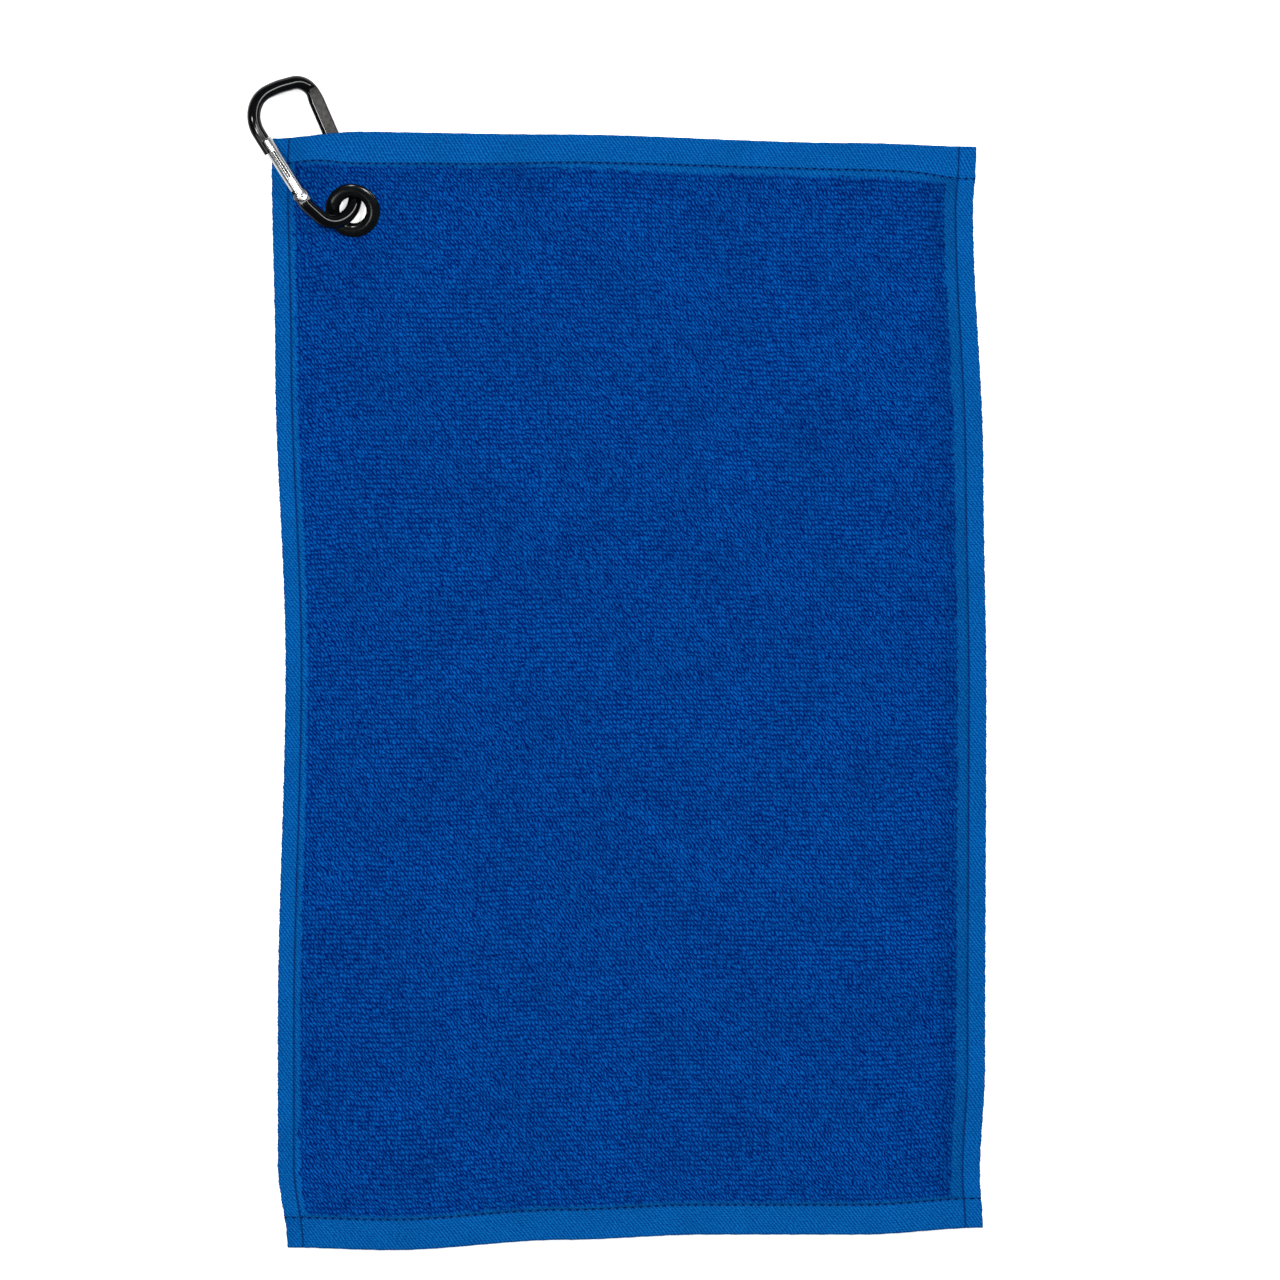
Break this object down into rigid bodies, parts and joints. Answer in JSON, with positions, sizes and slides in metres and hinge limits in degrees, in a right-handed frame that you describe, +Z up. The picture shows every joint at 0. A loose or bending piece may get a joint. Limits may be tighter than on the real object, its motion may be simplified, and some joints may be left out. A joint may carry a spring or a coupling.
{
  "type": "golf towel",
  "caption": "Terry golf towel laid flat, with folded flat-woven hems, a corner grommet and a D-shaped snap carabiner clipped through it.",
  "frame": {"origin": "middle of the towel's underside, on the surface that it lies on", "axes": "+Y towards the towel's top edge, where the carabiner is, +X to the right seen from the front, +Z up from the surface"},
  "size_m": [0.4279, 0.6803, 0.0266],
  "materials": {
    "terry": "looped cotton pile, royal blue",
    "hem_weave": "flat twill weave, royal blue",
    "sewing_thread": "spun polyester thread, dark blue",
    "grommet_plastic": "glossy black",
    "black_enamel": "glossy black enamel on aluminium",
    "gate_metal": "polished",
    "spring_steel": "bright drawn"
  },
  "bodies": {
    "towel": {"terry_panel": "terry", "hem_top": "hem_weave", "hem_bottom": "hem_weave", "hem_left": "hem_weave", "hem_right": "hem_weave", "seam_thread_top": "sewing_thread", "seam_thread_bottom": "sewing_thread", "seam_thread_left": "sewing_thread", "seam_thread_right": "sewing_thread", "grommet_front": "grommet_plastic", "grommet_back": "grommet_plastic"},
    "carabiner": {"carabiner_frame": "black_enamel", "gate_pivot_rivet": "spring_steel"},
    "gate": {"gate_sleeve": "gate_metal", "gate_plunger": "spring_steel", "gate_spring": "spring_steel"}
  },
  "joints": [
    {"name": "carabiner_swivel", "type": "hinge", "parent": "towel", "child": "carabiner", "pos_m": [-0.161, 0.278, 0.0072], "axis": [0, 0, 1], "range_deg": [-15, 6]},
    {"name": "gate_hinge", "type": "hinge", "parent": "carabiner", "child": "gate", "pos_m": [-0.19104, 0.28587, 0.01909], "axis": [-0.4163, -0.181, -0.891], "range_deg": [0, 30], "stiffness_Nm_per_rad": 0.08, "springref_deg": -34.38}
  ]
}
